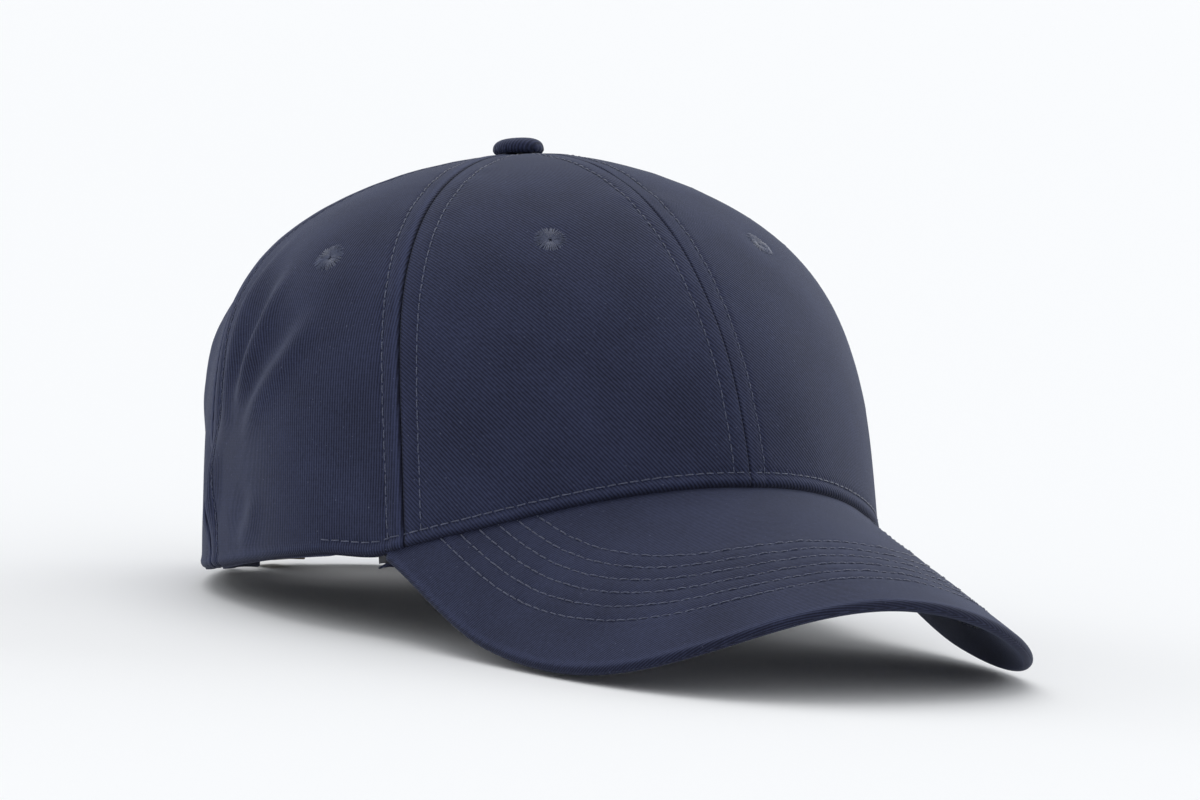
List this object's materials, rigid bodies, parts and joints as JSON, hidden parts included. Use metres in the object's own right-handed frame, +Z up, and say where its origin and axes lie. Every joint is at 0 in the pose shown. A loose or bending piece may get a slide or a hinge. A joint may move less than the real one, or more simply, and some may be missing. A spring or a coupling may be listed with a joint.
{
  "type": "baseball cap",
  "caption": "Structured panelled cap with a pre-curved stitched visor, covered button, worked eyelets and an adjustable buckled strap.",
  "frame": {"origin": "centre of the footprint box, on the surface the cap stands on", "axes": "+Z up; -Y towards the visor; +X to the wearer's left. The cap stands on its two visor corners and the back of its rim, so the wearing axis leans back 11.3 degrees from +Z"},
  "size_m": [0.1808, 0.2692, 0.1279],
  "materials": {
    "crown_twill": "cotton twill, dyed navy",
    "visor_twill": "cotton twill, dyed navy",
    "button_twill": "cotton twill stretched over a shell",
    "strap_twill": "folded cotton twill",
    "buckram": "stiffened open weave",
    "seam_tape": "plain woven tape",
    "embroidery_thread": "lustrous thread",
    "sweatband_cloth": "brushed cotton",
    "label_cloth": "blank woven label",
    "visor_board": "moulded sheet",
    "button_steel": "plated",
    "buckle_brass": "antique"
  },
  "bodies": {
    "cap": {"panel_front_left": "crown_twill", "panel_front_right": "crown_twill", "panel_side_left": "crown_twill", "panel_side_right": "crown_twill", "panel_back_left": "crown_twill", "panel_back_right": "crown_twill", "buckram_left": "buckram", "buckram_right": "buckram", "seam_tape_front": "seam_tape", "seam_tape_front_left": "seam_tape", "seam_tape_front_right": "seam_tape", "seam_tape_side_left": "seam_tape", "seam_tape_side_right": "seam_tape", "seam_tape_back": "seam_tape", "eyelet_front_left": "embroidery_thread", "eyelet_front_right": "embroidery_thread", "eyelet_side_left": "embroidery_thread", "eyelet_side_right": "embroidery_thread", "eyelet_back_left": "embroidery_thread", "eyelet_back_right": "embroidery_thread", "button_cover": "button_twill", "button_shell": "button_steel", "button_prong": "button_steel", "sweatband": "sweatband_cloth", "size_label": "label_cloth", "arch_binding": "seam_tape", "visor_top_cloth": "visor_twill", "visor_board": "visor_board", "visor_under_cloth": "visor_twill", "strap_tab": "strap_twill", "buckle_frame": "buckle_brass", "buckle_pin": "buckle_brass"},
    "strap": {"closure_strap": "strap_twill"},
    "lever": {"buckle_lever": "buckle_brass"}
  },
  "joints": [
    {"name": "strap_slide", "type": "hinge", "parent": "cap", "child": "strap", "pos_m": [0, 0.06183, 0.02465], "axis": [0, 0.1958, 0.9806], "range_deg": [-8, 10]},
    {"name": "lever_hinge", "type": "hinge", "parent": "cap", "child": "lever", "pos_m": [-0.02598, 0.12715, 0.01161], "axis": [0, 0.1958, 0.9806], "range_deg": [0, 100]}
  ]
}
